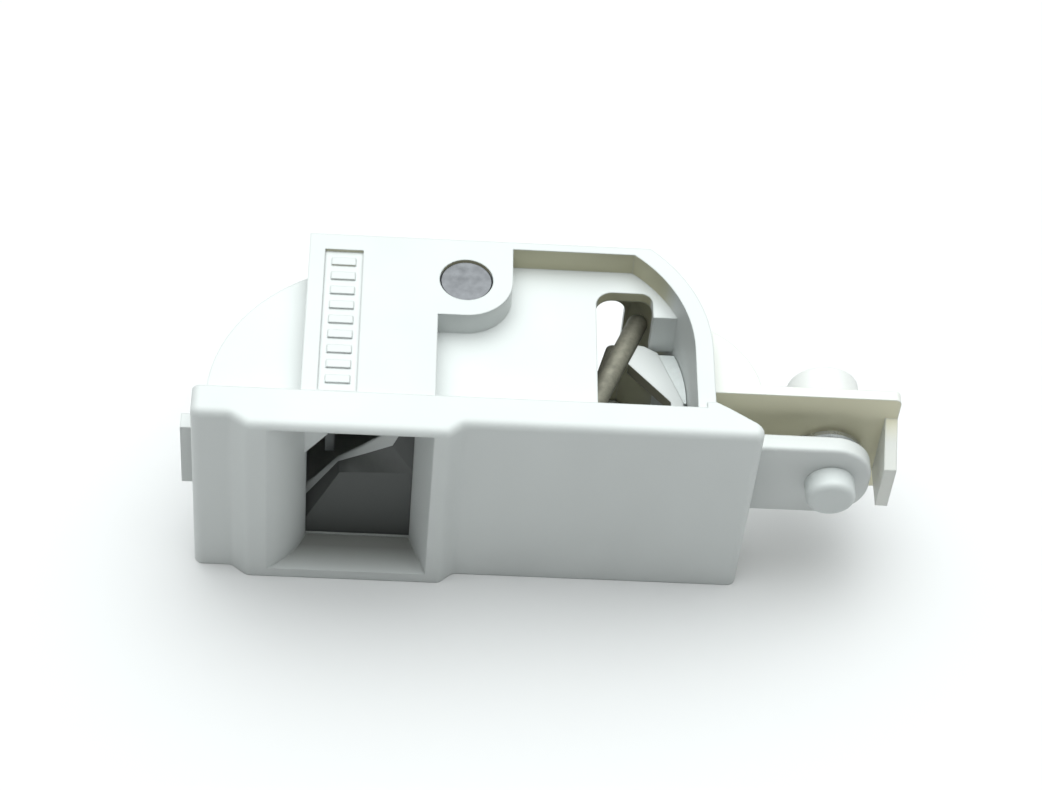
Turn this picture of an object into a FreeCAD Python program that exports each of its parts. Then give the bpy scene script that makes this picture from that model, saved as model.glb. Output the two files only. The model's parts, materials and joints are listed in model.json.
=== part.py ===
import FreeCAD, Part
import math
import os

import Sketcher

# A gate latch unit: a moulded housing takes a striker through its front window, a hook lever
# on a vertical steel pin holds it, and a spring-loaded slide across the front turns the hook away.
#
# Frame: millimetres, X to the right along the front face, Y towards the back, Z up.
# The origin is where the pivot pin's axis meets the underside.

doc = FreeCAD.newDocument("gate_latch")
sheet = doc.addObject("Spreadsheet::Sheet", "Dim")

DIMENSIONS = {
    # housing
    "height": 27.5,
    "plate_top": 27.25,      # top of the raised plate, a little below the front wall
    "deck": 24.1,            # top of the low deck
    "ceiling": 22.7,         # underside of the deck
    "sill": 1.5,             # floor of the window, thickness of the cover
    "front": 21.0,           # pivot axis to the front face
    "boss_front": 22.4,      # pivot axis to the face round the window
    "slab_back": 17.2,       # pivot axis to the back of the front wall
    "back": 6.0,             # pivot axis to the rear face
    "left": 29.5,
    "right": 32.8,
    "body_left": 28.2,
    "body_right": 27.6,
    "wall": 2.0,
    "thin_wall": 1.2,
    "left_bend": 20.0,       # plan radius of the left rear corner
    "left_bend_x": 8.2,
    "left_bend_y": 15.6,
    "right_bend": 19.4,      # plan radius of the right rear corner
    "right_bend_x": 8.2,
    "right_bend_y": 8.6,
    "plate_left": 17.8,      # left edge of the raised plate
    "pocket_left": 3.1,
    "tab": 5.25,             # radius of the tab round the pivot pin
    "window_left": 17.0,
    "window_right": 5.1,
    "window_top": 26.6,
    # pivot
    "pin": 3.0,
    "bush": 3.6,
    "hub": 4.7,
    "hub_low": 4.05,
    "hub_high": 21.0,
    "hook_low": 16.8,
    "tooth_low": 12.4,
    "clip_low": 21.5,
    "clip_high": 22.1,
    "drive": 13.0,           # pivot axis to the drive pin
    "drive_low": 4.0,
    "drive_high": 13.0,
    "fork_low": 6.3,
    "fork_high": 10.0,
    "roller": 1.7,
    # slide
    "slide_front": 17.0,
    "slide_back": 15.0,
    "slide_mid": 14.9,       # height of the slide's centre line and of the link pin
    "arm_half": 5.65,
    "arm_end": 46.4,
    "arm_corner": 4.8,
    "tab_half": 4.85,
    "tab_end": 31.0,
    "travel": 2.0,           # further, and the long leg's end would meet the rear wall
    "plate_end": 21.5,
    "slide_low": 1.7,
    "slide_high": 22.3,
    "lug": 2.4,
    "web": 0.6,              # what is left of the slide behind the wear plate
    "drive_pin": 1.0,
    "link": 41.85,           # pivot axis to the link pin
    "link_back": 13.3,       # pivot axis to the back of the boss round the link pin
    "shaft": 2.1,
    "peg_front": 19.7,
    "groove_front": 4.5,     # groove for the clip behind the link roller
    "groove_back": 3.9,
    "tyre_front": 10.5,
    "tyre_back": 3.5,
    "neck_low": 15.0,
    "block_low": 17.25,      # block that the long leg pushes on; it passes over the short leg
    "block_high": 18.9,
    # end bracket
    "bracket_front": 12.2,
    "bracket_thick": 1.3,
    "bracket_end": 49.0,
    "bracket_foot": 27.75,
    # spring
    "wire": 1.2,
    "coil": 3.6,
    "coil_x": 11.27,
    "coil_y": 9.81,
    "leg_high": 18.4,        # axis of the long upper leg
    "leg_pitch": 2.46,
    "long_leg": 14.5,
    "short_leg": 11.2,
    "rib_high": 17.1,        # rib that holds the short leg, below the long one's path
    # fixings
    "insert": 2.0,
    "foot": 1.65,            # thickness of the bracket's foot
    "screw_y": 8.6,
    "ledge": 13.4,           # top of the ledge under the stop buffer
    "gap": 0.15,
}
for row, (alias, number) in enumerate(DIMENSIONS.items(), start=1):
    sheet.set(f"A{row}", alias)
    sheet.set(f"B{row}", str(number))
    sheet.setAlias(f"B{row}", alias)
doc.recompute()

# Role of each origin plane, and the sign of its normal along the third axis.
PLANES = {"XY": ("XY_Plane", 1), "XZ": ("XZ_Plane", -1), "YZ": ("YZ_Plane", 1)}
FIXINGS = [("-23.8", "-11.9"), ("8.6", "1.9")]
SCREW_HEIGHTS = ["5", "11.5"]
PARTS = []


def number(expression):
    """Value of an expression over the sheet."""
    result = sheet.evalExpression(str(expression))
    return float(getattr(result, "Value", result))


def new_body(label):
    body = doc.addObject("PartDesign::Body", label)
    body.Label = label
    PARTS.append(body)
    return body


def new_sketch(body, name, plane, level):
    role, sign = PLANES[plane]
    sketch = body.newObject("Sketcher::SketchObject", name)
    support = next(item for item in body.Origin.OriginFeatures if item.Role == role)
    sketch.AttachmentSupport = [(support, "")]
    sketch.MapMode = "FlatFace"
    sketch.setExpression("AttachmentOffset.Base.z", f"{sign} * ({level})")
    return sketch


def bind(sketch, kind, *args):
    """Add a constraint whose last argument is an expression over the sheet."""
    *ids, expression = args
    index = sketch.addConstraint(Sketcher.Constraint(kind, *ids, number(expression)))
    sketch.setExpression(f"Constraints[{index}]", str(expression))


def arc_between(start, end, radius, side):
    """Arc of the given radius from start to end, its centre to the left or right of the way."""
    chord = end - start
    half = chord.Length / 2
    normal = FreeCAD.Vector(-chord.y, chord.x, 0).normalize()
    rise = math.sqrt(max(radius * radius - half * half, 0))
    centre = start + chord * 0.5 + normal * (rise if side == "left" else -rise)
    first, last = (start, end) if side == "left" else (end, start)
    angles = [math.atan2(p.y - centre.y, p.x - centre.x) for p in (first, last)]
    circle = Part.Circle(centre, FreeCAD.Vector(0, 0, 1), radius)
    return Part.ArcOfCircle(circle, *angles)


def outline(sketch, corners):
    """Closed outline. A corner is (x, y), or (x, y, radius, side) where an arc starts.

    The radius "half" stands for a half circle between corners that share an x or a y.
    """
    points = [FreeCAD.Vector(number(c[0]), number(c[1]), 0) for c in corners]
    ends = []
    for index, corner in enumerate(corners):
        start, end = points[index], points[(index + 1) % len(points)]
        if len(corner) == 2:
            edge = sketch.addGeometry(Part.LineSegment(start, end), False)
            ends.append((edge, 1, 2))
            continue
        radius, side = corner[2:]
        size = (end - start).Length / 2 if radius == "half" else number(radius)
        edge = sketch.addGeometry(arc_between(start, end, size, side), False)
        ends.append((edge, 1, 2) if side == "left" else (edge, 2, 1))
    for index, (edge, first, _) in enumerate(ends):
        corner = corners[index]
        before, _, last = ends[index - 1]
        sketch.addConstraint(Sketcher.Constraint("Coincident", before, last, edge, first))
        bind(sketch, "DistanceX", -1, 1, edge, first, corner[0])
        bind(sketch, "DistanceY", -1, 1, edge, first, corner[1])
        if "half" in corner and corner[0] == corners[(index + 1) % len(corners)][0]:
            bind(sketch, "DistanceX", -1, 1, edge, 3, corner[0])
        elif "half" in corner:
            bind(sketch, "DistanceY", -1, 1, edge, 3, corner[1])
        elif len(corner) > 2:
            bind(sketch, "Radius", edge, corner[2])


def ring(sketch, x, y, radius):
    """Circle about a point."""
    circle = Part.Circle(FreeCAD.Vector(number(x), number(y), 0), FreeCAD.Vector(0, 0, 1), number(radius))
    edge = sketch.addGeometry(circle, False)
    bind(sketch, "DistanceX", -1, 1, edge, 3, x)
    bind(sketch, "DistanceY", -1, 1, edge, 3, y)
    bind(sketch, "Radius", edge, radius)


def box(x_low, x_high, y_low, y_high):
    return [(x_low, y_low), (x_high, y_low), (x_high, y_high), (x_low, y_high)]


def volume(body):
    return body.Shape.Volume if not body.Shape.isNull() else 0.0


def extrude(body, name, kind, plane, low, high, draw):
    """Pad or Pocket between two levels of the plane's third axis."""
    sign = PLANES[plane][1]
    starts_low = (kind == "Pad") == (sign > 0)
    sketch = new_sketch(body, f"{name}_sketch", plane, low if starts_low else high)
    draw(sketch)
    before = volume(body)
    feature = body.newObject(f"PartDesign::{kind}", name)
    feature.Profile = sketch
    feature.setExpression("Length", f"({high}) - ({low})")
    doc.recompute()
    change = volume(body) - before
    if (change > 0) != (kind == "Pad") or abs(change) < 1e-3:
        raise RuntimeError(f"{body.Label}.{name} changed the volume by {change:.3f}")
    return feature


def pad(body, name, plane, low, high, corners):
    return extrude(body, name, "Pad", plane, low, high, lambda sketch: outline(sketch, corners))


def pocket(body, name, plane, low, high, corners):
    return extrude(body, name, "Pocket", plane, low, high, lambda sketch: outline(sketch, corners))


def post(body, name, plane, low, high, x, y, radius):
    return extrude(body, name, "Pad", plane, low, high, lambda sketch: ring(sketch, x, y, radius))


def bore(body, name, plane, low, high, x, y, radius):
    return extrude(body, name, "Pocket", plane, low, high, lambda sketch: ring(sketch, x, y, radius))


def soften(body, name, radius, chosen):
    """Round the edges that the test picks, where the solid takes it."""
    base = body.Tip
    names = [f"Edge{i}" for i, edge in enumerate(base.Shape.Edges, start=1) if chosen(edge)]
    feature = body.newObject("PartDesign::Fillet", name)
    feature.Base = (base, names)
    feature.setExpression("Radius", str(radius))
    doc.recompute()
    if "Invalid" in feature.State or feature.Shape.isNull():
        raise RuntimeError(f"{body.Label}.{name} failed on {len(names)} edges")
    return feature


def upright(edge, x, y, reach=0.2):
    """Whether an edge stands along Z at a plan position."""
    box_ = edge.BoundBox
    near = abs(box_.Center.x - x) < reach and abs(box_.Center.y - y) < reach
    return near and box_.ZLength > 1 and box_.XLength < 0.05 and box_.YLength < 0.05


def at_height(edge, z):
    box_ = edge.BoundBox
    return box_.ZLength < 0.01 and abs(box_.ZMin - z) < 0.01


# --- housing -------------------------------------------------------------------------------

WINDOW_BOSS = [
    ("-25.3", "-Dim.front"),
    ("-23.4", "-Dim.boss_front"),
    ("-1.5", "-Dim.boss_front"),
    ("0.1", "-Dim.front"),
]


def body_outline(inset, rear_inset, front):
    """Plan of the housing behind the front wall, drawn in by the wall's thickness."""
    left_x = f"-Dim.body_left + {inset}"
    bend = f"Dim.left_bend - {inset}"
    plate_x = f"-Dim.plate_left + {inset}"
    rise = f"sqrt(pow({bend}; 2) - pow(Dim.plate_left - {inset} - Dim.left_bend_x; 2))"
    rear = f"Dim.back - {rear_inset}"
    outer = f"Dim.right_bend - {inset}"
    reach = f"sqrt(pow({outer}; 2) - pow(Dim.back - {rear_inset} + Dim.right_bend_y; 2))"
    right_x = f"Dim.body_right - {inset}"
    return [
        (left_x, front),
        (right_x, front),
        (right_x, "-Dim.right_bend_y", outer, "left"),
        (f"Dim.right_bend_x + {reach}", rear),
        (plate_x, rear),
        (plate_x, f"-Dim.left_bend_y + {rise}", bend, "left"),
        (left_x, "-Dim.left_bend_y"),
    ]


def build_housing():
    body = new_body("housing")
    front_wall = [("-Dim.left", "-Dim.front")] + WINDOW_BOSS + [
        ("Dim.right", "-Dim.front"),
        ("Dim.right", "-19.7"),
        ("29", "-Dim.slab_back"),
        ("-Dim.left", "-Dim.slab_back"),
    ]
    pad(body, "front_wall", "XY", "0", "Dim.height", front_wall)
    soften(body, "front_corners", 1.0, lambda e: (
        upright(e, 32.8, -21) or upright(e, -29.5, -21) or upright(e, -23.4, -22.4)
        or upright(e, -25.3, -21) or upright(e, -1.5, -22.4) or upright(e, 0.1, -21)))
    soften(body, "front_top_edge", 1.0, lambda e: at_height(e, 27.5) and e.BoundBox.YMax < -19.75)
    pad(body, "tray", "XY", "0", "Dim.deck", body_outline("0", "0", "-Dim.slab_back"))
    pad(body, "corner_wedge", "XY", "0", "Dim.height", [
        ("Dim.body_right - 1", "-Dim.slab_back - 0.5"),
        ("29.3", "-Dim.slab_back - 0.5"),
        ("29", "-Dim.slab_back"),
        ("Dim.body_right", "-16.4"),
        ("Dim.body_right - 1", "-16.4"),
    ])
    pad(body, "raised_plate", "XY", "Dim.deck", "Dim.plate_top", [
        ("-Dim.plate_left", "-Dim.slab_back"),
        ("Dim.body_right", "-Dim.slab_back"),
        ("Dim.body_right", "-Dim.right_bend_y", "Dim.right_bend", "left"),
        ("Dim.right_bend_x + sqrt(pow(Dim.right_bend; 2) - pow(Dim.back + Dim.right_bend_y; 2))",
         "Dim.back"),
        ("-Dim.plate_left", "Dim.back"),
    ])
    top_pocket(body)
    cavity(body)
    floor_window(body)
    striker_window(body)
    slide_openings(body)
    housing_bosses(body)
    label_recess(body)
    return body


def top_pocket(body):
    """Sunk field on top, with the tab that carries the pivot pin left standing in it."""
    rim = "Dim.right_bend - Dim.wall"
    rear = "Dim.back - 1.05"
    reach = f"sqrt(pow({rim}; 2) - pow({rear} + Dim.right_bend_y; 2))"
    pocket(body, "top_pocket", "XY", "Dim.deck", "Dim.height", [
        ("-Dim.pocket_left", "-Dim.slab_back"),
        ("Dim.body_right - Dim.wall", "-Dim.slab_back"),
        ("Dim.body_right - Dim.wall", "-Dim.right_bend_y", rim, "left"),
        (f"Dim.right_bend_x + {reach}", rear),
        ("Dim.tab", rear),
        ("Dim.tab", "0", "Dim.tab", "right"),
        ("0", "-Dim.tab"),
        ("-Dim.pocket_left", "-Dim.tab"),
    ])


def cavity(body):
    """Hollow from below, higher under the raised plate."""
    pocket(body, "cavity", "XY", "0", "Dim.ceiling",
           body_outline("Dim.wall", "Dim.thin_wall", "-Dim.slab_back"))
    pocket(body, "high_cavity", "XY", "Dim.ceiling", "26", box("-15.8", "-5.8", "-Dim.slab_back", "4"))
    for index in range(3):
        left = 2 + 8 * index
        pocket(body, f"front_core_{index + 1}", "XZ", "-Dim.slab_back - 2", "-Dim.slab_back",
               box(str(left), str(left + 7), "3", "Dim.ceiling"))


def floor_window(body):
    """Hole in the deck above the spring, running up to the rim's inner face."""
    rim = "Dim.right_bend - Dim.wall"
    step_y = "-1.6"
    step_x = f"Dim.right_bend_x + sqrt(pow({rim}; 2) - pow(Dim.right_bend_y - 1.6; 2))"
    pocket(body, "floor_window", "XY", "Dim.ceiling", "Dim.deck", [
        ("14.9", "-Dim.slab_back"),
        ("Dim.body_right - Dim.wall", "-Dim.slab_back"),
        ("Dim.body_right - Dim.wall", "-Dim.right_bend_y", rim, "left"),
        (step_x, step_y),
        ("21.4", step_y),
        ("21.4", "0.5", "1.4", "left"),
        ("20", "1.9"),
        ("16.9", "1.9", "2", "left"),
        ("14.9", "-0.1"),
    ])


def striker_window(body):
    """Window that the striker enters, with a rounded lead-in on its left."""
    pocket(body, "striker_window", "XY", "Dim.sill", "Dim.window_top", [
        ("-21.2", "-Dim.boss_front - 1"),
        ("-3.1", "-Dim.boss_front - 1"),
        ("-3.1", "-Dim.boss_front"),
        ("-Dim.window_right", "-Dim.slab_back"),
        ("-Dim.window_left", "-Dim.slab_back", "9", "right"),
        ("-21.2", "-Dim.boss_front"),
    ])
    pad(body, "corner_gusset", "XZ", "-Dim.slab_back - 0.7", "-Dim.slab_back", [
        ("-17.4", "17"),
        ("-14.7", "20.8"),
        ("-17.4", "24.6"),
    ])


def slide_openings(body):
    """Ways out for the slide at both ends, and the slot in the rear wall behind the spring."""
    pocket(body, "left_opening", "XY", "Dim.slide_mid - 5.05", "Dim.slide_mid + 5.05",
           box("-28.5", "-25", "-Dim.slab_back", "-14.8"))
    pocket(body, "right_opening", "XY", "Dim.slide_mid - 5.85", "Dim.slide_mid + 5.85",
           box("25", "30", "-Dim.slab_back", "-14.8"))
    pocket(body, "rear_slot", "XZ", "4", "Dim.back + 0.5", [
        ("15.35", "4"),
        ("18.85", "4"),
        ("18.85", "17.75", "half", "left"),
        ("15.35", "17.75"),
    ])


def housing_bosses(body):
    post(body, "pin_boss", "XY", "Dim.ceiling - 0.4", "Dim.height - 1", "0", "0", "Dim.tab")
    bore(body, "pin_hole", "XY", "Dim.ceiling - 1", "Dim.height", "0", "0", "Dim.pin + 0.02")
    for index, (x, y) in enumerate(FIXINGS, start=1):
        post(body, f"fixing_boss_{index}", "XY", "Dim.sill", "Dim.ceiling + 0.4", x, y, "2.7")
        bore(body, f"fixing_hole_{index}", "XY", "Dim.sill - 1", "9", x, y, "Dim.insert")
    pad(body, "hanging_rib", "XY", "18.2", "Dim.deck - 0.4", box("21.4", "24.6", "-1.6", "-0.2"))
    pad(body, "stop_ledge", "XY", "Dim.sill", "Dim.ledge", [
        ("22.5", "-2.3"),
        ("25.2", "-9.3"),
        ("Dim.body_right - 1", "-9.3"),
        ("Dim.body_right - 1", "-6"),
        ("24.9", "-2.3"),
    ])
    for index, z in enumerate(SCREW_HEIGHTS, start=1):
        post(body, f"screw_boss_{index}", "YZ", "23.2", "Dim.body_right - 1", "-Dim.screw_y", z, "1.9")
    for index, z in enumerate(SCREW_HEIGHTS, start=1):
        bore(body, f"screw_hole_{index}", "YZ", "23", "Dim.body_right + 0.5", "-Dim.screw_y", z, "0.95")


def label_recess(body):
    """Blank field for a marking, with plain pips along it."""
    floor = "Dim.plate_top - 0.4"
    pocket(body, "label_recess", "XY", floor, "Dim.plate_top", box("-16", "-11.7", "-16.9", "3.7"))
    for index in range(9):
        y = -15.6 + 2.15 * index
        pad(body, f"pip_{index + 1}", "XY", floor, f"{floor} + 0.2",
            box("-15.2", "-12.5", str(y), str(y + 1.1)))


# --- cover and bracket ---------------------------------------------------------------------

def build_cover():
    body = new_body("base_cover")
    pad(body, "plate", "XY", "0", "Dim.sill",
        body_outline("(Dim.wall + Dim.gap)", "(Dim.thin_wall + Dim.gap)", "-Dim.slab_back + Dim.gap"))
    post(body, "pivot_boss", "XY", "Dim.sill", "3.5", "0", "0", "4.6")
    bore(body, "pivot_hole", "XY", "0.9", "3.5", "0", "0", "Dim.pin + 0.02")
    post(body, "spring_seat", "XY", "Dim.sill", "10.7", "Dim.coil_x", "-Dim.coil_y", "4.2")
    post(body, "spring_core", "XY", "10.7", "20.5", "Dim.coil_x", "-Dim.coil_y", "Dim.coil - Dim.wire - 0.2")
    pad(body, "spring_rib", "XY", "Dim.sill", "Dim.rib_high", box("12.6", "15", "-5", "-2.5"))
    for index, (x, y) in enumerate(FIXINGS, start=1):
        bore(body, f"fixing_hole_{index}", "XY", "0", "Dim.sill", x, y, "2.4")
    return body


def build_bracket():
    """Bracket beyond the right wall: foot, guide plate, web on top and stop finger at its end."""
    body = new_body("end_bracket")
    back = "-Dim.bracket_front + Dim.bracket_thick"
    pad(body, "guide_plate", "XZ", "-Dim.bracket_front", back, [
        ("Dim.bracket_foot", "8.5"),
        ("Dim.bracket_end", "8.5"),
        ("Dim.bracket_end", "Dim.deck - 0.8", "0.8", "left"),
        ("Dim.bracket_end - 0.8", "Dim.deck"),
        ("Dim.bracket_foot", "Dim.deck"),
    ])
    pad(body, "foot", "XY", "3", "Dim.deck",
        box("Dim.bracket_foot", "Dim.bracket_foot + Dim.foot", "-Dim.bracket_front", "-6.5"))
    rim = "Dim.right_bend + Dim.gap"
    pad(body, "web", "XY", "Dim.ceiling", "Dim.deck", [
        ("Dim.bracket_foot", "-Dim.bracket_front"),
        ("33.4", "-Dim.bracket_front", "11.6", "left"),
        ("26.9", "-2.6"),
        ("Dim.right_bend_x + sqrt(pow(Dim.right_bend + Dim.gap; 2) - pow(Dim.right_bend_y - 2.6; 2))",
         "-2.6", rim, "right"),
        ("Dim.bracket_foot", "-Dim.right_bend_y"),
    ])
    pad(body, "stop_finger", "YZ", "Dim.bracket_end - 1.4", "Dim.bracket_end", [
        ("-17.1", "11.2"),
        ("-Dim.bracket_front + 0.5", "11.2"),
        ("-Dim.bracket_front + 0.5", "21.1"),
        ("-Dim.bracket_front", "20.9"),
        ("-17.1", "17.7"),
    ])
    slot = "Dim.shaft + 0.25"
    pocket(body, "pin_slot", "XZ", "-Dim.bracket_front", back, [
        ("Dim.link - Dim.travel - 0.3", f"Dim.slide_mid - ({slot})"),
        ("Dim.link + 0.3", f"Dim.slide_mid - ({slot})", "half", "left"),
        ("Dim.link + 0.3", f"Dim.slide_mid + {slot}"),
        ("Dim.link - Dim.travel - 0.3", f"Dim.slide_mid + {slot}", "half", "left"),
    ])
    for index, z in enumerate(SCREW_HEIGHTS, start=1):
        bore(body, f"screw_hole_{index}", "YZ", "Dim.bracket_foot", "Dim.bracket_foot + Dim.foot",
             "-Dim.screw_y", z, "1.2")
    return body


# --- catch ---------------------------------------------------------------------------------

def build_catch():
    """Hook lever: hub on the pivot pin, hook towards the window, fork towards the slide."""
    body = new_body("catch_lever")
    post(body, "hub_boss", "XY", "Dim.hub_low", "Dim.hub_high", "0", "0", "Dim.hub")
    pad(body, "hook", "XY", "Dim.hook_low", "Dim.hub_high", [
        ("-1", "4"),
        ("-8", "0.6"),
        ("-14.6", "-3.2"),
        ("-18.4", "-7.2"),
        ("-18.9", "-12.5"),
        ("-18.3", "-14.3"),
        ("-15.1", "-13.6"),
        ("-14", "-13.6"),
        ("-14", "-11.8"),
        ("-15.6", "-11"),
        ("-15.6", "-8.2"),
        ("-12.6", "-6.4"),
        ("-4", "-3"),
        ("0", "-3.5"),
    ])
    pad(body, "tooth", "XY", "Dim.tooth_low", "Dim.hook_low", [
        ("-15.1", "-13.6"),
        ("-14", "-13.6"),
        ("-14", "-11.8"),
        ("-15.1", "-11.25"),
    ])
    slot = "(Dim.roller + 0.2)"
    pad(body, "fork", "XY", "Dim.fork_low", "Dim.fork_high", [
        ("-3.6", "-2"),
        ("-3.6", "-14.1"),
        (f"-{slot}", "-14.1"),
        (f"-{slot}", "-11", "half", "right"),
        (slot, "-11"),
        (slot, "-14.1"),
        ("3.6", "-14.1"),
        ("3.6", "-2"),
    ])
    bore(body, "bush_bore", "XY", "Dim.hub_low", "Dim.hub_high", "0", "0", "Dim.bush")
    return body


def washer(body, name, plane, low, high, x, y, outer, inner):
    def draw(sketch):
        ring(sketch, x, y, outer)
        ring(sketch, x, y, inner)
    return extrude(body, name, "Pad", plane, low, high, draw)


def turned(label, corners):
    """Solid of revolution about Z through the origin, from (radius, height) corners."""
    body = new_body(label)
    sketch = new_sketch(body, "section", "XZ", "0")
    outline(sketch, corners)
    turn = body.newObject("PartDesign::Revolution", "turn")
    turn.Profile = sketch
    turn.ReferenceAxis = (sketch, ["V_Axis"])
    turn.Angle = 360
    doc.recompute()
    return body


def build_pivot():
    """Steel pivot pin, its retaining clip, two thrust washers and the lever's bush."""
    groove = "Dim.pin - 0.5"
    turned("pivot_pin", [
        ("0", "0.9"),
        ("Dim.pin - 0.4", "0.9"),
        ("Dim.pin", "1.3"),
        ("Dim.pin", "Dim.clip_low - 0.03"),
        (groove, "Dim.clip_low - 0.03"),
        (groove, "Dim.clip_high + 0.03"),
        ("Dim.pin", "Dim.clip_high + 0.03"),
        ("Dim.pin", "26.8"),
        ("Dim.pin - 0.2", "27"),
        ("0", "27"),
    ])
    clip = new_body("pivot_clip")
    washer(clip, "disc", "XY", "Dim.clip_low", "Dim.clip_high", "0", "0", "4.4", f"{groove} + 0.05")
    pocket(clip, "mouth", "XY", "Dim.clip_low", "Dim.clip_high", box("-1.9", "1.9", "-5", "0"))
    low = new_body("lower_thrust_washer")
    washer(low, "disc", "XY", "3.52", "4", "0", "0", "4.5", "Dim.pin + 0.05")
    high = new_body("upper_thrust_washer")
    washer(high, "disc", "XY", "Dim.hub_high + 0.04", "Dim.clip_low - 0.06", "0", "0", "4.5",
           "Dim.pin + 0.05")
    bush = new_body("catch_bush")
    washer(bush, "sleeve", "XY", "Dim.hub_low", "Dim.hub_high", "0", "0", "Dim.bush - 0.02",
           "Dim.pin + 0.04")


# --- slide ---------------------------------------------------------------------------------

def slide_outline():
    """Front view of the slide: tab on the left, wide plate, long arm with a rounded end."""
    arm_low = "Dim.slide_mid - Dim.arm_half"
    arm_high = "Dim.slide_mid + Dim.arm_half"
    return [
        ("-Dim.tab_end", "Dim.slide_mid - Dim.tab_half"),
        ("-Dim.plate_end", "Dim.slide_mid - Dim.tab_half"),
        ("-Dim.plate_end", "Dim.slide_low"),
        ("Dim.lug", "Dim.slide_low"),
        ("Dim.lug", arm_low),
        ("Dim.arm_end - Dim.arm_corner", arm_low, "Dim.arm_corner", "left"),
        ("Dim.arm_end", f"{arm_low} + Dim.arm_corner"),
        ("Dim.arm_end", f"{arm_high} - Dim.arm_corner", "Dim.arm_corner", "left"),
        ("Dim.arm_end - Dim.arm_corner", arm_high),
        ("Dim.lug", arm_high),
        ("Dim.lug", "Dim.slide_high"),
        ("-Dim.plate_end", "Dim.slide_high"),
        ("-Dim.plate_end", "Dim.slide_mid + Dim.tab_half"),
        ("-Dim.tab_end", "Dim.slide_mid + Dim.tab_half"),
    ]


def build_slide():
    body = new_body("release_slide")
    pad(body, "strip", "XZ", "-Dim.slide_front", "-Dim.slide_back", slide_outline())
    soften(body, "arm_edge", "0.45", lambda edge: (
        edge.BoundBox.YMax < 0.01 - number("Dim.slide_front") and edge.BoundBox.XMax > 40))
    pocket(body, "insert_seat", "XZ", "-Dim.slide_front", "-Dim.slide_back - Dim.web",
           box("-18.9", "-3.4", "Dim.slide_low", "Dim.slide_high"))
    bevelled_notch(body)
    pad(body, "bottom_rib", "XZ", "-Dim.slide_back", "-13.2", box("-17.5", "-6", "Dim.slide_low", "4"))
    for name, low, high in (("low", "Dim.drive_low", "5.9"), ("high", "10.4", "Dim.drive_high")):
        pad(body, f"{name}_lug", "XY", low, high, box("-Dim.lug", "Dim.lug", "-Dim.slide_back", "-11.4"))
    bore(body, "drive_hole", "XY", "Dim.drive_low", "Dim.drive_high", "0", "-Dim.drive",
         "Dim.drive_pin + 0.02")
    pad(body, "neck", "XY", "Dim.neck_low", "Dim.block_high",
        box("23.7", "25.1", "-Dim.slide_back", "-9.6"))
    pad(body, "spring_block", "XY", "Dim.block_low", "Dim.block_high", [
        ("18.95", "-4.2"),
        ("24.4", "-10.4"),
        ("25.15", "-9.6"),
        ("22.35", "-2.4"),
        ("20.8", "-1.5"),
        ("20.15", "-1.4"),
    ])
    post(body, "link_boss", "XZ", "-Dim.slide_back", "-Dim.link_back", "Dim.link", "Dim.slide_mid", "3.4")
    bore(body, "link_hole", "XZ", "-Dim.slide_front", "-Dim.link_back", "Dim.link", "Dim.slide_mid",
         "Dim.shaft + 0.02")


def build_notch_plate():
    """Dark wear plate let into the slide's front where the striker passes over it."""
    body = new_body("notch_plate")
    pad(body, "plate", "XZ", "-Dim.slide_front", "-Dim.slide_back - Dim.web - 0.02",
        box("-18.85", "-3.45", "Dim.slide_low", "Dim.slide_high"))
    bevelled_notch(body)


def bevelled_notch(body):
    """Notch in the plate's top edge, its lower side sloping up towards the back."""
    front = new_sketch(body, "notch_front", "XZ", "-Dim.slide_front - 0.01")
    outline(front, [
        ("-17.4", "3.3"),
        ("-13.3", "12.9"),
        ("-9.5", "13.1"),
        ("-5", "13.3"),
        ("-5", "Dim.slide_high + 1"),
        ("-17.4", "Dim.slide_high + 1"),
    ])
    back = new_sketch(body, "notch_back", "XZ", "-Dim.slide_back + 0.01")
    outline(back, [
        ("-17.4", "7.7"),
        ("-13.6", "13.3"),
        ("-11.1", "15.4"),
        ("-8.6", "17.8"),
        ("-5", "Dim.slide_high + 1"),
        ("-17.4", "Dim.slide_high + 1"),
    ])
    before = volume(body)
    loft = body.newObject("PartDesign::SubtractiveLoft", "notch")
    loft.Profile = front
    loft.Sections = [back]
    loft.Ruled = True
    doc.recompute()
    if volume(body) > before - 1:
        raise RuntimeError("the notch cut nothing")


def build_drive():
    """Pin between the slide's lugs and the roller that turns in the lever's fork."""
    pin = new_body("drive_pin")
    post(pin, "pin", "XY", "Dim.drive_low", "Dim.drive_high", "0", "-Dim.drive", "Dim.drive_pin")
    roller = new_body("drive_roller")
    washer(roller, "roller", "XY", "Dim.fork_low + 0.2", "Dim.fork_high - 0.2", "0", "-Dim.drive",
           "Dim.roller", "Dim.drive_pin + 0.05")


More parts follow.
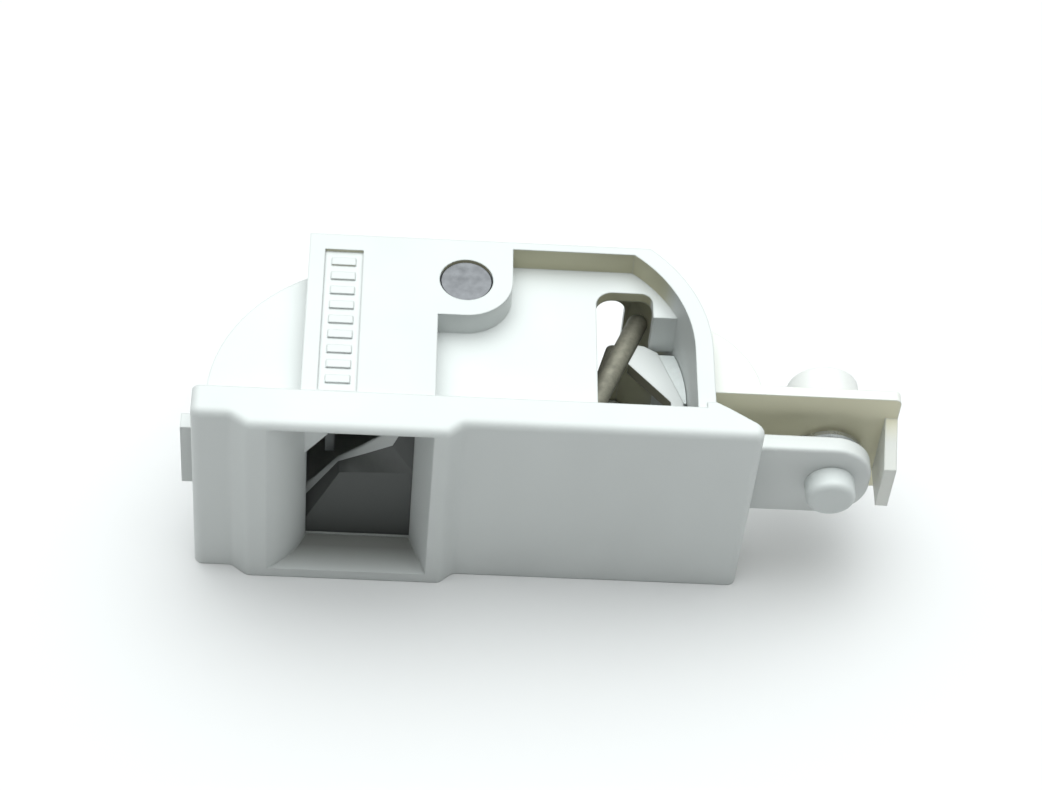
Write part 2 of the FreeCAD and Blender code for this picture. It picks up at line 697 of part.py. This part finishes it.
def build_link():
    """Headed pin through the slide's arm, with washer, roller and clip behind the bracket."""
    centre = ("Dim.link", "Dim.slide_mid")
    groove = "Dim.shaft - 0.4"
    pin = new_body("link_pin")
    post(pin, "head", "XZ", "-Dim.peg_front", "-Dim.slide_front - 0.02", *centre, "2.8")
    soften(pin, "head_edge", "0.8", lambda edge: edge.BoundBox.YMax < -19)
    post(pin, "shaft", "XZ", "-Dim.slide_front - 0.1", "-Dim.groove_front", *centre, "Dim.shaft")
    post(pin, "neck", "XZ", "-Dim.groove_front", "-Dim.groove_back", *centre, groove)
    post(pin, "tip", "XZ", "-Dim.groove_back", "-Dim.groove_back + 0.5", *centre, "Dim.shaft - 0.1")
    spacer = new_body("link_washer")
    washer(spacer, "disc", "XZ", "-Dim.link_back + 0.1", "-Dim.link_back + 0.6", *centre, "4",
           "Dim.shaft + 0.05")
    roller = new_body("link_roller")
    washer(roller, "tyre", "XZ", "-Dim.tyre_front", "-Dim.tyre_back", *centre, "4.15",
           "Dim.shaft + 0.06")
    bore(roller, "recess", "XZ", "-Dim.tyre_back - 1.2", "-Dim.tyre_back", *centre, "3.3")
    soften(roller, "front_edge", "0.4", lambda edge: (
        edge.BoundBox.YMax < 0.1 - number("Dim.tyre_front") and edge.Length > 20))
    clip = new_body("roller_clip")
    low, high = "-Dim.groove_front + 0.05", "-Dim.groove_back - 0.05"
    washer(clip, "disc", "XZ", low, high, *centre, "3", f"{groove} + 0.05")
    pocket(clip, "mouth", "XZ", low, high, [
        ("Dim.link - 1.3", "Dim.slide_mid - 4"),
        ("Dim.link + 1.3", "Dim.slide_mid - 4"),
        ("Dim.link + 1.3", "Dim.slide_mid"),
        ("Dim.link - 1.3", "Dim.slide_mid"),
    ])


# --- spring, buffer and fixings ------------------------------------------------------------

def build_buffer():
    """Soft stop between the slide's block and the housing's right wall."""
    body = new_body("slide_buffer")
    rim = "Dim.right_bend - Dim.wall - 0.1"
    pad(body, "cushion", "XY", "Dim.ledge", "Dim.block_high - 0.5", [
        ("22.5", "-2.3"),
        ("25.2", "-9.3"),
        (f"Dim.right_bend_x + {rim}", "-9.3"),
        (f"Dim.right_bend_x + {rim}", "-Dim.right_bend_y", rim, "left"),
        (f"Dim.right_bend_x + sqrt(pow({rim}; 2) - pow(Dim.right_bend_y - 2.3; 2))", "-2.3"),
    ])


def rod(start, end, radius):
    way = end - start
    return Part.makeCylinder(radius, way.Length, start, way)


def bend(centre, axis, start, degrees, radius):
    """Piece of ring made by turning the wire's section about an axis."""
    heading = axis.cross(start - centre)
    disc = Part.Face(Part.Wire(Part.makeCircle(radius, start, heading)))
    return disc.revolve(centre, axis, degrees)


def build_spring():
    """Double torsion spring: long upper leg, half turn, bridge, turn and a half, short lower leg."""
    wire = number("Dim.wire")
    coil = number("Dim.coil")
    high = number("Dim.leg_high")
    low = high - number("Dim.leg_pitch")
    axis = FreeCAD.Vector(number("Dim.coil_x"), -number("Dim.coil_y"), 0)
    up = FreeCAD.Vector(0, 0, 1)

    long_way = FreeCAD.Vector(5, 12, 0).normalize()
    short_way = FreeCAD.Vector(3.5, 12, 0).normalize()
    long_root = axis + FreeCAD.Vector(long_way.y, -long_way.x, 0) * coil + up * high
    short_root = axis + FreeCAD.Vector(short_way.y, -short_way.x, 0) * coil + up * low
    long_end = long_root + long_way * number("Dim.long_leg")
    short_end = short_root + short_way * number("Dim.short_leg")

    left = axis + FreeCAD.Vector(-coil, 0, 0)
    rise = 1.5 * number("Dim.leg_pitch")
    bottom = low - rise
    bridge = FreeCAD.Vector(0, 4.2, 0)
    bridge_middle = left + up * (high + bottom) / 2 + bridge
    half_turn = 180 - math.degrees(math.atan2(long_way.x, long_way.y))
    turns = 1.5 - math.degrees(math.atan2(short_way.x, short_way.y)) / 360
    pieces = [
        rod(long_root, long_end, wire),
        Part.makeSphere(wire, long_end),
        bend(axis + up * high, -up, long_root, half_turn, wire),
        rod(left + up * high, left + up * high + bridge, wire),
        bend(bridge_middle, FreeCAD.Vector(-1, 0, 0), left + up * high + bridge, 180, wire),
        rod(left + up * bottom, left + up * bottom + bridge, wire),
        coil_turns(left + up * bottom, axis, coil, rise / turns, rise, wire),
        Part.makeSphere(wire * 1.01, left + up * bottom),
        Part.makeSphere(wire * 1.01, short_root),
        rod(short_root, short_end, wire),
    ]
    shape = pieces[0]
    for piece in pieces[1:]:
        shape = shape.fuse(piece.Solids[0])
    spring = doc.addObject("Part::Feature", "torsion_spring")
    spring.Label = "torsion_spring"
    spring.Shape = shape
    PARTS.append(spring)


def coil_turns(start, axis, coil, pitch, rise, wire):
    """Rising helix of wire that starts at the coil's left side."""
    helix = Part.makeHelix(pitch, rise, coil)
    section = Part.Wire(Part.makeCircle(wire, FreeCAD.Vector(coil, 0, 0), FreeCAD.Vector(0, 1, 0)))
    pipe = Part.Wire(helix).makePipeShell([section], True, True)
    pipe.rotate(FreeCAD.Vector(0, 0, 0), FreeCAD.Vector(0, 0, 1), 180)
    pipe.translate(FreeCAD.Vector(axis.x, axis.y, start.z))
    return pipe


def build_fixings():
    """Threaded inserts in the underside and the screws that hold the bracket."""
    inserts = new_body("fixing_inserts")
    for index, (x, y) in enumerate(FIXINGS, start=1):
        washer(inserts, f"insert_{index}", "XY", "Dim.sill + 0.1", "7.6", x, y, "Dim.insert - 0.02", "1.25")
    screws = new_body("bracket_screws")
    seat = "Dim.bracket_foot + Dim.foot"
    for index, z in enumerate(SCREW_HEIGHTS, start=1):
        post(screws, f"head_{index}", "YZ", f"{seat} + 0.02", f"{seat} + 1.3", "-Dim.screw_y", z, "1.6")
        post(screws, f"shank_{index}", "YZ", "24", f"{seat} + 0.1", "-Dim.screw_y", z, "0.85")
        pocket(screws, f"slot_{index}", "YZ", f"{seat} + 0.8", f"{seat} + 1.3", [
            ("-Dim.screw_y - 2", f"{z} - 0.2"),
            ("-Dim.screw_y + 2", f"{z} - 0.2"),
            ("-Dim.screw_y + 2", f"{z} + 0.2"),
            ("-Dim.screw_y - 2", f"{z} + 0.2"),
        ])


# --- main ----------------------------------------------------------------------------------

def write_parts():
    os.makedirs("parts", exist_ok=True)
    for part in PARTS:
        shape = part.Shape
        if shape.isNull() or not shape.isValid() or {"Invalid", "Error"} & set(part.State):
            raise RuntimeError(f"{part.Label} is not sound")
        print(part.Label, round(shape.Volume, 1), len(shape.Solids))
        shape.exportStep(f"parts/{part.Label}.step")


build_housing()
build_cover()
build_bracket()
build_catch()
build_pivot()
build_slide()
build_notch_plate()
build_drive()
build_link()
build_buffer()
build_spring()
build_fixings()
doc.recompute()
write_parts()
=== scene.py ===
import json
import math

import bmesh
import bpy
from mathutils import Matrix, Vector


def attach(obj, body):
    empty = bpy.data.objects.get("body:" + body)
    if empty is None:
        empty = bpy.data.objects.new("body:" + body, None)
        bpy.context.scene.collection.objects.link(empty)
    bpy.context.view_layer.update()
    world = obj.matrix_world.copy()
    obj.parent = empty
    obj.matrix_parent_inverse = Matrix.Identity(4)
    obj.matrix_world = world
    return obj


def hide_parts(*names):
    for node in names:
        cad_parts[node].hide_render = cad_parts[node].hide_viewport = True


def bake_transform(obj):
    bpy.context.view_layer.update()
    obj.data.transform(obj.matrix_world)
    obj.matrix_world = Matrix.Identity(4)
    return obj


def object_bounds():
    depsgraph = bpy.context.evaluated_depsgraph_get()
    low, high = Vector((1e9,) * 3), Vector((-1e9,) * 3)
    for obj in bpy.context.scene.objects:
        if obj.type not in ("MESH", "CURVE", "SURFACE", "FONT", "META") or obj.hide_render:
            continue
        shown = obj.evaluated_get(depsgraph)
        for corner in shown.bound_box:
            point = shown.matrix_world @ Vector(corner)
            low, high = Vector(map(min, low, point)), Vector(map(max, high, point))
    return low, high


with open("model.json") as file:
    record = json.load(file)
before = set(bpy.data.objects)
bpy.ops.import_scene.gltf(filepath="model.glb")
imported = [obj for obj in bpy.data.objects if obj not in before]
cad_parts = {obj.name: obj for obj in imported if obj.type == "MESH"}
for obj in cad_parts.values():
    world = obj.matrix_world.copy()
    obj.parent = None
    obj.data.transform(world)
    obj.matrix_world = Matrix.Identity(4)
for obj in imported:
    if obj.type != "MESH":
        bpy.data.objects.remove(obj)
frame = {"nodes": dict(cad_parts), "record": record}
cad_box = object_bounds()

# Noise scales: a feature is about 1/scale metres across.
PAPER_SHADE = 6
FLOW_MARKS = 90
METAL_BLOOM = 700
WIRE_SKIN = 900
RUBBER_DUST = 1200
SLOPE_LIGHT_PATCHES = 1500
WIRE_SCRATCHES = 1800
METAL_MARKS = 2500
DARK_GRAIN = 4200
PLASTIC_GRAIN = 5200
TOOL_RINGS = 900

# Heights of the relief in a material, in metres.
GRAIN_HEIGHT = 0.00002
TOOL_MARK_HEIGHT = 0.00001

# The sill's painted shade is gone above the second height, and is full behind the second depth, in
# metres.
SILL_HEIGHTS = (0.002, 0.004)
SILL_DEPTHS = (-0.0228, -0.0188)

# The painted shade grows to full strength over this distance, in metres.
PAINTED_SHADE_FADE = 0.002

# Sockets of a colour mix, whose names the node repeats for every data type.
MIX_FACTOR, MIX_FIRST, MIX_SECOND, MIX_RESULT = 0, 6, 7, 2


# --- node helpers --------------------------------------------------------------------------

def new_material(name):
    """Node material with only a shader and an output; returns the material, its tree and the shader."""
    material = bpy.data.materials.new(name)
    material.use_nodes = True
    tree = material.node_tree
    tree.nodes.clear()
    shader = tree.nodes.new("ShaderNodeBsdfPrincipled")
    output = tree.nodes.new("ShaderNodeOutputMaterial")
    tree.links.new(shader.outputs["BSDF"], output.inputs["Surface"])
    return material, tree, shader


def position(tree):
    """Place on the object in its own frame, in metres."""
    return tree.nodes.new("ShaderNodeTexCoord").outputs["Object"]


def noise(tree, scale, detail=3.0, roughness=0.55, stretch=(1, 1, 1)):
    """Noise over the object, with a feature size of about 1/scale metres."""
    mapping = tree.nodes.new("ShaderNodeMapping")
    mapping.inputs["Scale"].default_value = stretch
    tree.links.new(position(tree), mapping.inputs["Vector"])
    texture = tree.nodes.new("ShaderNodeTexNoise")
    texture.inputs["Scale"].default_value = scale
    texture.inputs["Detail"].default_value = detail
    texture.inputs["Roughness"].default_value = roughness
    tree.links.new(mapping.outputs["Vector"], texture.inputs["Vector"])
    return texture.outputs["Fac"]


def remap(tree, value, low, high, start=0.3, end=0.7):
    """Low up to start, high from end on, and a straight line between them."""
    node = tree.nodes.new("ShaderNodeMapRange")
    node.inputs["From Min"].default_value = start
    node.inputs["From Max"].default_value = end
    node.inputs["To Min"].default_value = low
    node.inputs["To Max"].default_value = high
    tree.links.new(value, node.inputs["Value"])
    return node.outputs["Result"]


def mix_colour(tree, factor, first, second):
    """The first colour where the factor is 0 and the second where it is 1."""
    node = tree.nodes.new("ShaderNodeMix")
    node.data_type = "RGBA"
    for socket, colour in ((node.inputs[MIX_FIRST], first), (node.inputs[MIX_SECOND], second)):
        if isinstance(colour, tuple):
            socket.default_value = (*colour, 1)
        else:
            tree.links.new(colour, socket)
    tree.links.new(factor, node.inputs[MIX_FACTOR])
    return node.outputs[MIX_RESULT]


def mottled(tree, pattern, colour, darkest):
    """A colour that falls with a pattern, down to a share of itself."""
    darker = tuple(c * darkest for c in colour)
    return mix_colour(tree, remap(tree, pattern, 0, 1), darker, colour)


def part_of(tree, vector, axis):
    """One component of a vector."""
    node = tree.nodes.new("ShaderNodeSeparateXYZ")
    tree.links.new(vector, node.inputs["Vector"])
    return node.outputs[axis]


def normal(tree):
    """The way the surface faces."""
    return tree.nodes.new("ShaderNodeNewGeometry").outputs["Normal"]


def product(tree, first, second):
    """Two values multiplied."""
    node = tree.nodes.new("ShaderNodeMath")
    node.operation = "MULTIPLY"
    tree.links.new(first, node.inputs[0])
    tree.links.new(second, node.inputs[1])
    return node.outputs["Value"]


def edge_mask(tree, radius):
    """Bright near edges, where a rounded normal leaves the true one; also gives the rounded normal."""
    bevel = tree.nodes.new("ShaderNodeBevel")
    bevel.samples = 4
    bevel.inputs["Radius"].default_value = radius
    rounded = bevel.outputs["Normal"]
    turned = tree.nodes.new("ShaderNodeVectorMath")
    turned.operation = "DOT_PRODUCT"
    tree.links.new(rounded, turned.inputs[0])
    tree.links.new(normal(tree), turned.inputs[1])
    return remap(tree, turned.outputs["Value"], 1.0, 0.0, start=0.72, end=0.98), rounded


def bump(tree, shader, height, strength, distance, rounded=None):
    """Relief on the surface, over a rounded normal if there is one."""
    node = tree.nodes.new("ShaderNodeBump")
    node.inputs["Strength"].default_value = strength
    node.inputs["Distance"].default_value = distance
    tree.links.new(height, node.inputs["Height"])
    if rounded is not None:
        tree.links.new(rounded, node.inputs["Normal"])
    tree.links.new(node.outputs["Normal"], shader.inputs["Normal"])


# --- materials -----------------------------------------------------------------------------

def forward_faces(tree, depth):
    """Faces that look forward and stand further back than a depth, in metres: where the painted shade
    lies.
    """
    behind = remap(tree, part_of(tree, position(tree), "Y"), 0, 1,
                   start=depth, end=depth + PAINTED_SHADE_FADE)
    forward = remap(tree, part_of(tree, normal(tree), "Y"), 1, 0, start=-0.6, end=-0.3)
    return product(tree, behind, forward)


def sill_shade_mask(tree):
    """Painted shade on the floor of the striker's window, more so towards the back."""
    up = remap(tree, part_of(tree, normal(tree), "Z"), 0, 1, start=0.5, end=0.9)
    lowest, highest = SILL_HEIGHTS
    low = remap(tree, part_of(tree, position(tree), "Z"), 1, 0, start=lowest, end=highest)
    front, back = SILL_DEPTHS
    inward = remap(tree, part_of(tree, position(tree), "Y"), 0, 1, start=front, end=back)
    return product(tree, product(tree, up, low), inward)


def moulded_plastic(name, colour, roughness=0.42, grain=1.0, painted_shade=None, depth=0.0, sill_shade=None):
    """Moulded plastic: fine grain, faint flow marks, edges softer and a little lighter, the lighter
    edges a painted highlight.

    A painted shade, if there is one, lies on forward-looking faces behind a depth.
    A sill colour, if there is one, is painted shade on the floor of the striker's window.
    """
    edge_radius = 0.00028
    material, tree, shader = new_material(name)
    flow = noise(tree, FLOW_MARKS, detail=2, stretch=(1, 1, 0.4))
    body = mottled(tree, flow, colour, 0.955)
    # Painted shade: forward-looking faces behind the depth are mixed towards the shade colour.
    if painted_shade is not None:
        body = mix_colour(tree, forward_faces(tree, depth), body, painted_shade)
    # Painted shade: the window's floor darkens towards the back.
    if sill_shade is not None:
        body = mix_colour(tree, sill_shade_mask(tree), body, sill_shade)
    # Painted highlight: edges are mixed towards a lighter colour.
    edge_highlight, rounded = edge_mask(tree, edge_radius)
    lighter = tuple(min(c * 1.06 + 0.01, 1) for c in colour)
    tree.links.new(mix_colour(tree, edge_highlight, body, lighter), shader.inputs["Base Color"])
    fine = noise(tree, PLASTIC_GRAIN, detail=2)
    tree.links.new(remap(tree, fine, roughness - 0.05, roughness + 0.07), shader.inputs["Roughness"])
    shader.inputs["Specular IOR Level"].default_value = 0.42
    bump(tree, shader, fine, 0.22 * grain, GRAIN_HEIGHT, rounded)
    return material


def lit_slopes(name, colour, lit_colour):
    """Dark plastic with painted light on its upward slopes, in patches, and smoother there."""
    material, tree, shader = new_material(name)
    # Painted light: upward faces are mixed towards the lighter colour, broken into patches.
    upward = remap(tree, part_of(tree, normal(tree), "Z"), 0, 1, start=0.1, end=0.5)
    patches = noise(tree, SLOPE_LIGHT_PATCHES, detail=4, stretch=(1, 0.3, 1))
    patchy = product(tree, upward, remap(tree, patches, 0.75, 1.0))
    tree.links.new(mix_colour(tree, patchy, colour, lit_colour), shader.inputs["Base Color"])
    tree.links.new(remap(tree, upward, 0.5, 0.36, start=0, end=1), shader.inputs["Roughness"])
    bump(tree, shader, noise(tree, DARK_GRAIN, detail=2), 0.2, GRAIN_HEIGHT)
    return material


def turned_metal(name, colour, roughness, rings=False):
    """Turned or ground metal: a dull bloom and fine marks, in rings about the Z axis if asked."""
    material, tree, shader = new_material(name)
    bloom = noise(tree, METAL_BLOOM, detail=4)
    tree.links.new(mottled(tree, bloom, colour, 0.78), shader.inputs["Base Color"])
    shader.inputs["Metallic"].default_value = 1
    tree.links.new(remap(tree, bloom, roughness + 0.1, roughness - 0.04), shader.inputs["Roughness"])
    if rings:
        wave = tree.nodes.new("ShaderNodeTexWave")
        wave.wave_type = "RINGS"
        wave.rings_direction = "Z"
        wave.inputs["Scale"].default_value = TOOL_RINGS
        wave.inputs["Distortion"].default_value = 0.6
        tree.links.new(position(tree), wave.inputs["Vector"])
        bump(tree, shader, wave.outputs["Fac"], 0.15, TOOL_MARK_HEIGHT)
    else:
        bump(tree, shader, noise(tree, METAL_MARKS), 0.2, TOOL_MARK_HEIGHT)
    return material


def drawn_wire(name, colour):
    """Drawn spring wire: a dull, blotched skin with scratches that run front to back."""
    material, tree, shader = new_material(name)
    skin = noise(tree, WIRE_SKIN, detail=5, roughness=0.65)
    tree.links.new(mottled(tree, skin, colour, 0.62), shader.inputs["Base Color"])
    shader.inputs["Metallic"].default_value = 0.35
    tree.links.new(remap(tree, skin, 0.66, 0.5), shader.inputs["Roughness"])
    scratches = noise(tree, WIRE_SCRATCHES, detail=3, stretch=(3, 0.5, 3))
    bump(tree, shader, scratches, 0.35, GRAIN_HEIGHT)
    return material


def soft_rubber(name, colour):
    """Soft elastomer: matte and dusty."""
    material, tree, shader = new_material(name)
    dust = noise(tree, RUBBER_DUST, detail=4)
    tree.links.new(mottled(tree, dust, colour, 0.93), shader.inputs["Base Color"])
    tree.links.new(remap(tree, dust, 0.62, 0.75), shader.inputs["Roughness"])
    shader.inputs["Specular IOR Level"].default_value = 0.3
    bump(tree, shader, dust, 0.2, GRAIN_HEIGHT)
    return material


def build_materials():
    """Material of every slot in the record, under the slot's own name."""
    # The olive and dark second colours below, with their depths, are painted shade on set-back forward
    # faces: the rim's inner walls, the bracket's plate and the slide inside the housing.
    plastics = {
        "housing_plastic": dict(colour=(0.640, 0.665, 0.655), painted_shade=(0.52, 0.50, 0.35), depth=-0.001,
                                # The sill colour is painted shade on the window's floor.
                                sill_shade=(0.24, 0.245, 0.23)),
        "cover_plastic": dict(colour=(0.60, 0.62, 0.60)),
        "bracket_plastic": dict(colour=(0.72, 0.73, 0.69), painted_shade=(0.74, 0.71, 0.53), depth=-0.0145),
        "catch_plastic": dict(colour=(0.16, 0.17, 0.17), roughness=0.34, grain=0.6),
        "slide_plastic": dict(colour=(0.62, 0.64, 0.63), roughness=0.4, painted_shade=(0.20, 0.19, 0.14),
                              depth=-0.0125),
        "link_plastic": dict(colour=(0.62, 0.65, 0.64), roughness=0.38),
        "roller_plastic": dict(colour=(0.72, 0.73, 0.71), roughness=0.36, grain=0.6),
        "washer_nylon": dict(colour=(0.72, 0.71, 0.65), roughness=0.38, grain=0.6),
        "bush_nylon": dict(colour=(0.70, 0.70, 0.64), roughness=0.38, grain=0.6),
    }
    metals = {
        "pin_steel": dict(colour=(0.185, 0.19, 0.20), roughness=0.42, rings=True),
        "clip_steel": dict(colour=(0.36, 0.37, 0.37), roughness=0.36),
        "washer_steel": dict(colour=(0.70, 0.71, 0.72), roughness=0.26),
        "screw_steel": dict(colour=(0.50, 0.51, 0.52), roughness=0.3),
        "insert_brass": dict(colour=(0.62, 0.45, 0.17), roughness=0.3),
    }
    return {
        **{slot: moulded_plastic(slot, **look) for slot, look in plastics.items()},
        **{slot: turned_metal(slot, **look) for slot, look in metals.items()},
        # The second colour of the notch plate is painted light on its upward slopes.
        "notch_plastic": lit_slopes("notch_plastic", (0.080, 0.085, 0.082), (0.125, 0.130, 0.125)),
        "buffer_elastomer": soft_rubber("buffer_elastomer", (0.76, 0.80, 0.79)),
        "spring_steel": drawn_wire("spring_steel", (0.27, 0.26, 0.205)),
    }


def dress_frame(materials):
    """The record's material on every CAD part."""
    for entry in frame["record"]["subparts"]:
        node = frame["nodes"][entry["node"]]
        for slot in node.material_slots:
            slot.material = materials[entry["material_slot"]]


# --- spring --------------------------------------------------------------------------------

def cut_wire(name, level, keep_above):
    """Copy of the spring's wire on one side of a level, closed where it is cut.

    Returns a new mesh and the edited shape that is still to be written into it.
    """
    weld_distance = 1e-7
    mesh = frame["nodes"]["torsion_spring"].data.copy()
    mesh.name = name
    work = bmesh.new()
    work.from_mesh(mesh)
    bmesh.ops.remove_doubles(work, verts=work.verts, dist=weld_distance)
    bmesh.ops.bisect_plane(work, geom=work.verts[:] + work.edges[:] + work.faces[:],
                           plane_co=(0, 0, level), plane_no=(0, 0, 1),
                           clear_inner=keep_above, clear_outer=not keep_above)
    bmesh.ops.holes_fill(work, edges=[edge for edge in work.edges if edge.is_boundary])
    return mesh, work


def build_spring(materials):
    """The spring cut in two lengths: the coils, which stay with the frame, and the long leg.

    The long leg is cut in slices across its bend and is not attached to any body; nothing here shifts
    it, and a real one would turn about the coil.
    """
    between_legs = 0.01717
    way = Vector((0.8, 0.6, 0))
    bend_start = way * 0.0060
    bend_end = way * 0.0104
    slices = 14

    mesh, work = cut_wire("spring_coils", between_legs, keep_above=False)
    work.to_mesh(mesh)
    work.free()
    coils = bpy.data.objects.new("spring_coils", mesh)

    mesh, work = cut_wire("spring_long_leg", between_legs, keep_above=True)
    for step in range(slices + 1):
        place = bend_start.lerp(bend_end, step / slices)
        bmesh.ops.bisect_plane(work, geom=work.verts[:] + work.edges[:] + work.faces[:],
                               plane_co=place, plane_no=way)
    work.to_mesh(mesh)
    work.free()
    leg = bpy.data.objects.new("spring_long_leg", mesh)

    for piece in (coils, leg):
        piece.data.materials.clear()
        piece.data.materials.append(materials["spring_steel"])
        bpy.context.collection.objects.link(piece)
        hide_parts("torsion_spring")
    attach(coils, "frame")
    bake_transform(leg)


# --- stage ---------------------------------------------------------------------------------

def build_floor():
    """Pale paper just under the part."""
    gap = 0.00005
    mesh = bpy.data.meshes.new("floor")
    half = 1.5
    corners = [(-half, -half, 0), (half, -half, 0), (half, half, 0), (-half, half, 0)]
    mesh.from_pydata(corners, [], [(0, 1, 2, 3)])
    floor = bpy.data.objects.new("floor", mesh)
    floor.location.z = cad_box[0][2] - gap
    bpy.context.collection.objects.link(floor)
    material, tree, shader = new_material("floor_paper")
    shade = noise(tree, PAPER_SHADE, detail=2)
    paper = mix_colour(tree, shade, (0.685, 0.685, 0.685), (0.70, 0.70, 0.70))
    tree.links.new(paper, shader.inputs["Base Color"])
    shader.inputs["Roughness"].default_value = 0.9
    shader.inputs["Specular IOR Level"].default_value = 0.1
    mesh.materials.append(material)


def build_light():
    """Bright light from overhead and a little behind, and very dim light from everywhere else.

    Fronts are lit mostly by the pale floor, so hollows stay dark.
    """
    brightest_way = Vector((0, 0.22, 1)).normalized()
    dim, bright = 0.05, 4.2
    dim_up_to = 0.58
    world = bpy.data.worlds.new("studio")
    world.use_nodes = True
    tree = world.node_tree
    background = tree.nodes["Background"]
    background.inputs["Color"].default_value = (0.96, 1.0, 1.0, 1)
    sky = tree.nodes.new("ShaderNodeTexCoord")
    facing = tree.nodes.new("ShaderNodeVectorMath")
    facing.operation = "DOT_PRODUCT"
    facing.inputs[1].default_value = brightest_way
    tree.links.new(sky.outputs["Generated"], facing.inputs[0])
    strength = remap(tree, facing.outputs["Value"], dim, bright, start=dim_up_to, end=1.0)
    tree.links.new(strength, background.inputs["Strength"])
    bpy.context.scene.world = world


def build_camera():
    """Long lens looking down on the front at about 50 degrees, rolled a little."""
    azimuth = math.radians(4.518)
    elevation = math.radians(50.405)
    roll = math.radians(6.041)
    place = (-0.00971, -0.21745, 0.27106)
    forward = Vector((
        math.sin(azimuth) * math.cos(elevation),
        math.cos(azimuth) * math.cos(elevation),
        -math.sin(elevation),
    ))
    level = Vector((math.cos(azimuth), -math.sin(azimuth), 0))
    above = level.cross(forward)
    right = level * math.cos(roll) + above * math.sin(roll)
    up = above * math.cos(roll) - level * math.sin(roll)
    data = bpy.data.cameras.new("camera")
    data.sensor_width = 36
    data.lens = 100.34
    data.clip_start = 0.01
    camera = bpy.data.objects.new("camera", data)
    turn = Matrix((right, up, -forward)).transposed().to_4x4()
    camera.matrix_world = Matrix.Translation(place) @ turn
    bpy.context.collection.objects.link(camera)
    bpy.context.scene.camera = camera
    bpy.context.scene.view_settings.view_transform = "Standard"


# --- build ---------------------------------------------------------------------------------

materials = build_materials()
dress_frame(materials)
build_spring(materials)
build_floor()
build_light()
build_camera()
